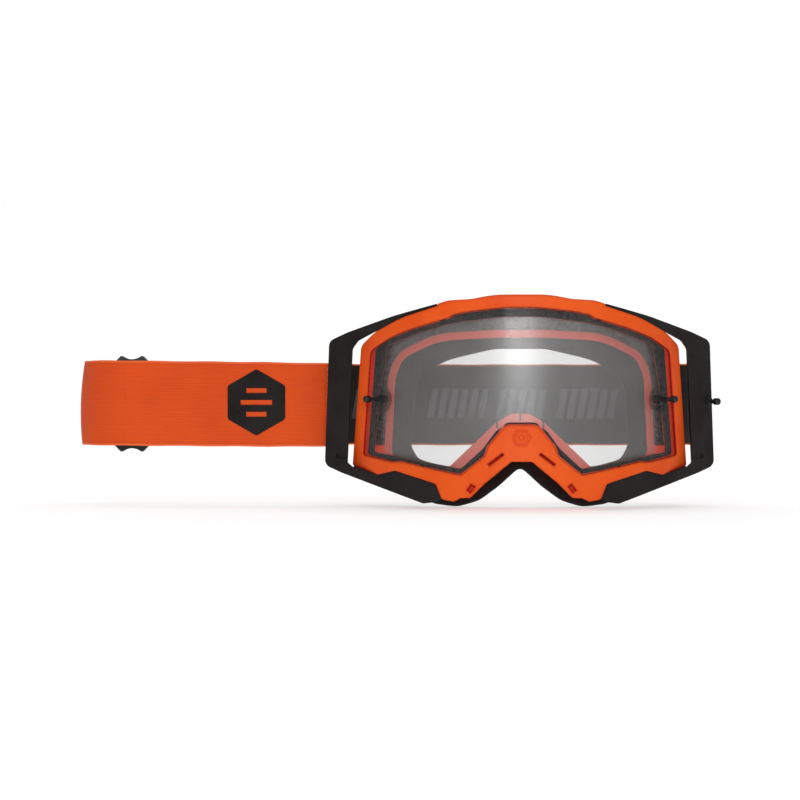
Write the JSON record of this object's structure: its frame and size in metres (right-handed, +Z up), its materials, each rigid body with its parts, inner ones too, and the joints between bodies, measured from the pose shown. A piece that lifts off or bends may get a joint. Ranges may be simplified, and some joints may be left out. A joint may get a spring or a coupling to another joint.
{
  "type": "motocross goggles",
  "caption": "Off-road goggles: curved clear lens in a moulded frame with face foam, side outriggers, tear-off posts and an elastic head strap with a slide adjuster.",
  "frame": {"origin": "on the frame's symmetry plane, level with the lens posts, where the face foam meets the brow", "axes": "+X to the viewer's right looking at the lens, +Y from the lens towards the face, +Z up"},
  "size_m": [0.3483, 0.1203, 0.1105],
  "materials": {
    "frame_orange": "satin moulded plastic",
    "inner_orange": "satin flexible plastic",
    "outrigger_black": "fine matte texture",
    "post_black": "smooth moulded",
    "lens_clear": "clear polished",
    "washer_clear": "clear moulded",
    "spacer_foam": "closed-cell foam",
    "lens_haze": "clear polished, faintly milky",
    "vent_foam": "open-cell foam",
    "foam_dark": "open-cell foam",
    "fleece": "brushed fleece",
    "strap_web": "woven elastic webbing",
    "badge_print": "flat rubber print",
    "grip_silicone": "glossy silicone",
    "adjuster_black": "satin moulded plastic",
    "bar_steel": "drawn wire"
  },
  "bodies": {
    "goggles": {"front_frame": "frame_orange", "inner_frame": "inner_orange", "face_flange": "inner_orange", "vent_liner": "vent_foam", "vent_foam_low_left": "vent_foam", "vent_foam_low_right": "vent_foam", "outrigger_post": "post_black", "outrigger_left": "outrigger_black", "outrigger_right": "outrigger_black", "outrigger_snap_pins": "outrigger_black", "strap_bar_left": "bar_steel", "strap_bar_right": "bar_steel", "foam_base": "foam_dark", "foam_middle": "foam_dark", "foam_fleece": "fleece", "strap_front_run": "strap_web", "strap_fold": "strap_web", "strap_rear_run": "strap_web", "strap_return": "strap_web", "strap_loop_left": "strap_web", "strap_loop_right": "strap_web", "strap_badge": "badge_print", "strap_grip": "grip_silicone"},
    "lens_unit": {"lens": "lens_clear", "lens_spacer": "spacer_foam", "lens_inner": "lens_haze", "tearoff_post_left": "post_black", "tearoff_post_right": "post_black", "post_washer_left": "washer_clear", "post_washer_right": "washer_clear", "post_nut_left": "post_black", "post_nut_right": "post_black", "washer_pin": "post_black"},
    "adjuster": {"strap_adjuster": "adjuster_black"}
  },
  "joints": [
    {"name": "lens_release", "type": "slide", "parent": "goggles", "child": "lens_unit", "axis": [0, -1, 0], "range_m": [0, 0.06]},
    {"name": "adjuster_slide", "type": "slide", "parent": "goggles", "child": "adjuster", "axis": [1, 0, 0], "range_m": [0, 0.1]}
  ]
}
